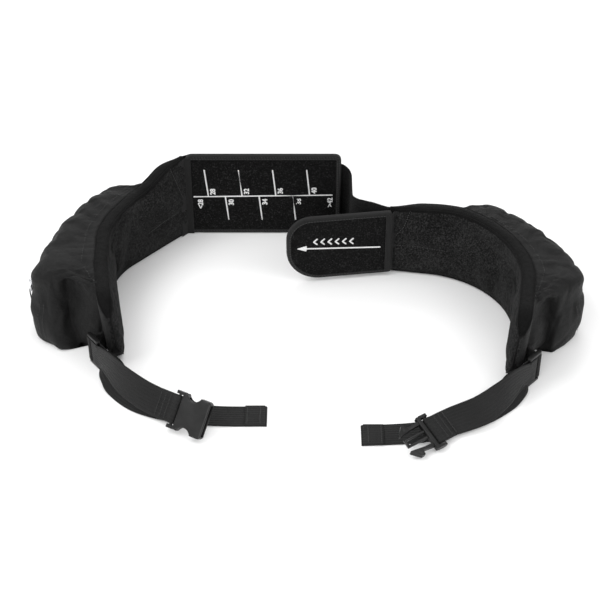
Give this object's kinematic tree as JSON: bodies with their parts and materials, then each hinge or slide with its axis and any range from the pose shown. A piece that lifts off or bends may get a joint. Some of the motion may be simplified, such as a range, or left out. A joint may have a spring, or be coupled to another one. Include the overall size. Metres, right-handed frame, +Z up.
{
  "type": "padded hip belt",
  "caption": "Padded black hip belt with a lumbar loop panel, hinged foam wings with zipped pockets, webbing straps on ladder locks and a side-release buckle.",
  "frame": {"origin": "middle of the lumbar panel's lower edge, on the surface that the belt stands on", "axes": "+X to the right along the lumbar panel, +Y out of the belt's back, +Z up; the wings reach towards -Y"},
  "size_m": [0.7685, 0.5113, 0.139],
  "materials": {
    "spacer_mesh": "fine open knit, matt",
    "foam": "closed-cell foam, hidden",
    "edge_cloth": "woven edge band, matt",
    "shell_cloth": "coated nylon weave, slight sheen",
    "pocket_cloth": "nylon pack cloth, slight sheen",
    "hook_field": "hook tape",
    "loop_field": "brushed loop pile",
    "binding": "ribbed grosgrain binding",
    "stiffener": "polyethylene sheet, hidden",
    "webbing": "flat nylon webbing",
    "stitching": "white embroidery thread",
    "zip_tape": "woven zip tape",
    "zip_coil": "moulded coil",
    "zip_metal": "satin plated zinc",
    "buckle_plastic": "satin black acetal",
    "grip_rubber": "moulded grip",
    "pull_cord": "braided cord"
  },
  "bodies": {
    "lumbar": {"lumbar_back_loop": "loop_field", "lumbar_stiffener": "stiffener", "lumbar_foam": "foam", "lumbar_front_loop": "loop_field", "lumbar_binding": "binding", "size_scale": "stitching"},
    "left_wing": {"left_inner_mesh": "spacer_mesh", "left_foam_pad": "foam", "left_edge_band": "edge_cloth", "left_outer_shell": "shell_cloth", "left_pocket": "pocket_cloth", "left_zip_tapes": "zip_tape", "left_zip_coil": "zip_coil", "left_zip_stops": "zip_metal", "left_anchor_loop": "webbing"},
    "left_slider": {"left_zip_slider": "zip_metal"},
    "left_pull": {"left_pull_tab": "zip_metal", "left_pull_cord": "pull_cord", "left_pull_grip": "grip_rubber"},
    "left_strap_run": {"left_ladder_lock": "buckle_plastic", "left_strap": "webbing"},
    "socket_half": {"buckle_socket": "buckle_plastic"},
    "right_flap": {"flap_hook": "hook_field", "flap_fabric": "shell_cloth"},
    "right_wing": {"right_inner_mesh": "spacer_mesh", "right_foam_pad": "foam", "right_edge_band": "edge_cloth", "right_outer_shell": "shell_cloth", "right_pocket": "pocket_cloth", "right_zip_tapes": "zip_tape", "right_zip_coil": "zip_coil", "right_zip_stops": "zip_metal", "right_anchor_loop": "webbing"},
    "tongue": {"tongue_loop": "loop_field", "tongue_core": "foam", "tongue_hook": "hook_field", "tongue_binding": "binding", "fit_arrow": "stitching"},
    "right_slider": {"right_zip_slider": "zip_metal"},
    "right_pull": {"right_pull_tab": "zip_metal", "right_pull_cord": "pull_cord", "right_pull_grip": "grip_rubber"},
    "right_strap_run": {"right_ladder_lock": "buckle_plastic", "right_strap": "webbing"},
    "plug_half": {"buckle_base": "buckle_plastic"},
    "upper_prong": {"buckle_prong_upper": "buckle_plastic"},
    "lower_prong": {"buckle_prong_lower": "buckle_plastic"}
  },
  "joints": [
    {"name": "left_wing_fold", "type": "hinge", "parent": "lumbar", "child": "left_wing", "pos_m": [-0.1182, -0.0035, 0], "axis": [0, 0, 1], "range_deg": [-8, 10]},
    {"name": "fit_slide", "type": "slide", "parent": "lumbar", "child": "right_flap", "axis": [1, 0, 0], "range_m": [0, 0.06]},
    {"name": "right_wing_fold", "type": "hinge", "parent": "right_flap", "child": "right_wing", "pos_m": [0.181, -0.097, 0], "axis": [0, 0, 1], "range_deg": [-8, 6]},
    {"name": "tongue_peel", "type": "hinge", "parent": "right_wing", "child": "tongue", "pos_m": [0.184, -0.1043, 0], "axis": [0, 0, 1], "range_deg": [-20, 60]},
    {"name": "left_zip_run", "type": "hinge", "parent": "left_wing", "child": "left_slider", "pos_m": [0.06031, -0.26988, 0.076], "axis": [0, 0, -1], "range_deg": [0, 27.76]},
    {"name": "left_pull_lift", "type": "hinge", "parent": "left_slider", "child": "left_pull", "pos_m": [-0.31888, -0.22658, 0.076], "axis": [0.1135, 0.9935, 0], "range_deg": [0, 150]},
    {"name": "left_strap_swing", "type": "hinge", "parent": "left_wing", "child": "left_strap_run", "pos_m": [-0.23, -0.30852, 0.025], "axis": [0, 0, 1], "range_deg": [-8, 8]},
    {"name": "right_zip_run", "type": "hinge", "parent": "right_wing", "child": "right_slider", "pos_m": [0.18205, -0.29577, 0.076], "axis": [0, 0, 1], "range_deg": [0, 35.57]},
    {"name": "right_pull_lift", "type": "hinge", "parent": "right_slider", "child": "right_pull", "pos_m": [0.4416, -0.22654, 0.076], "axis": [0.2577, -0.9662, 0], "range_deg": [0, 150]},
    {"name": "right_strap_swing", "type": "hinge", "parent": "right_wing", "child": "right_strap_run", "pos_m": [0.37007, -0.34574, 0.025], "axis": [0, 0, 1], "range_deg": [0, 10]},
    {"name": "socket_tilt", "type": "hinge", "parent": "left_strap_run", "child": "socket_half", "pos_m": [-0.10641, -0.43332, 0.0245], "axis": [-0.328, -0.5682, -0.7547], "range_deg": [0, 25]},
    {"name": "plug_tilt", "type": "hinge", "parent": "right_strap_run", "child": "plug_half", "pos_m": [0.22279, -0.46295, 0.0145], "axis": [-0.539, 0.7698, 0.342], "range_deg": [0, 25]},
    {"name": "upper_prong_flex", "type": "hinge", "parent": "plug_half", "child": "upper_prong", "pos_m": [0.22045, -0.48122, 0.00954], "axis": [-0.1962, 0.2802, -0.9397], "range_deg": [0, 8], "stiffness_Nm_per_rad": 1.2},
    {"name": "lower_prong_flex", "type": "hinge", "parent": "plug_half", "child": "lower_prong", "pos_m": [0.20482, -0.4589, 0.01946], "axis": [0.1962, -0.2802, 0.9397], "range_deg": [0, 8], "stiffness_Nm_per_rad": 1.2}
  ]
}
